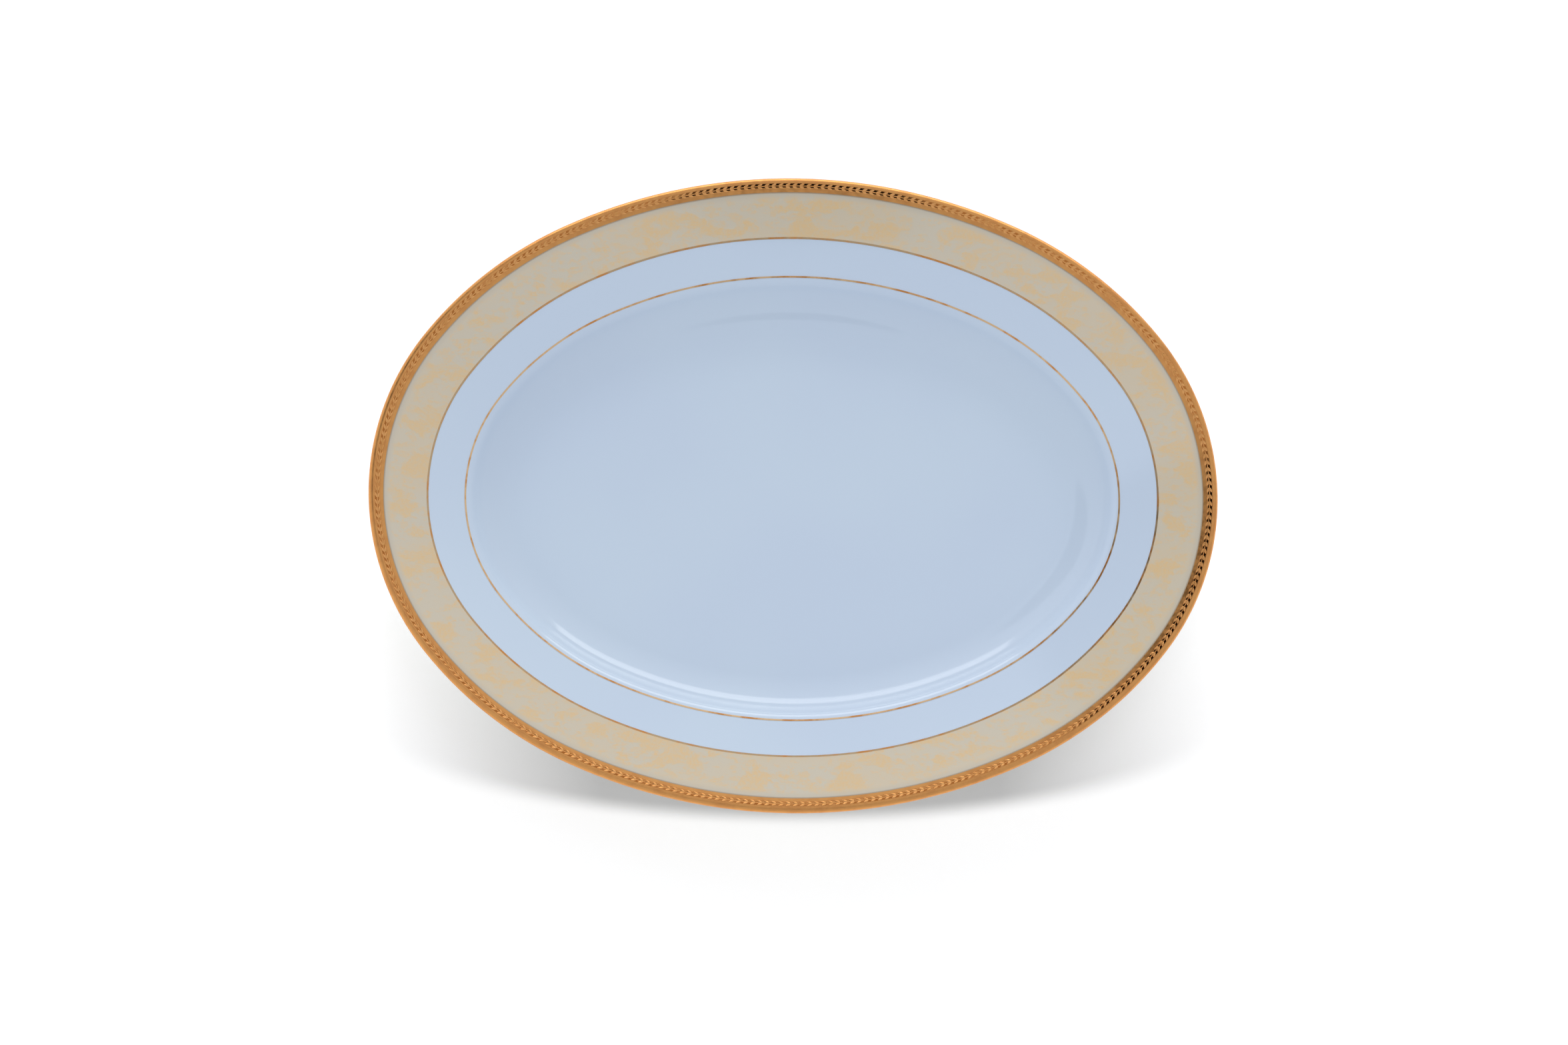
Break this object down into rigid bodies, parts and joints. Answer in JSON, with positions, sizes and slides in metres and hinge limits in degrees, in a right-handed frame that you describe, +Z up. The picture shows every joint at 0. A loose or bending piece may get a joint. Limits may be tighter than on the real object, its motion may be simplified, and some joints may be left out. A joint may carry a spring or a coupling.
{
  "type": "serving platter",
  "caption": "Oval porcelain serving platter with a marbled ivory rim band, a gold edge with a raised laurel, and thin gold lines, standing on a foot ring.",
  "frame": {"origin": "centre of the oval, on the plane that the ground edge of the foot ring stands on", "axes": "+X along the length, +Y across the width, +Z up out of the well"},
  "size_m": [0.355, 0.27, 0.0303],
  "materials": {
    "porcelain": "fired bare, fine matt",
    "glaze": "clear high gloss over white",
    "ivory_ground": "glossy, clouded ivory and peach",
    "burnished_gold": "burnished gold",
    "laurel_gold": "satin raised gold"
  },
  "bodies": {
    "root": {"porcelain_body": "porcelain", "glaze_coat": "glaze", "foot_panel_glaze": "glaze", "ivory_ground_band": "ivory_ground", "gold_edge_band": "burnished_gold", "gold_lip_border": "burnished_gold", "gold_inner_border": "burnished_gold", "laurel_stem": "laurel_gold", "outer_laurel_leaves": "laurel_gold", "inner_laurel_leaves": "laurel_gold", "band_gold_line": "burnished_gold", "verge_gold_line": "burnished_gold"}
  },
  "joints": []
}
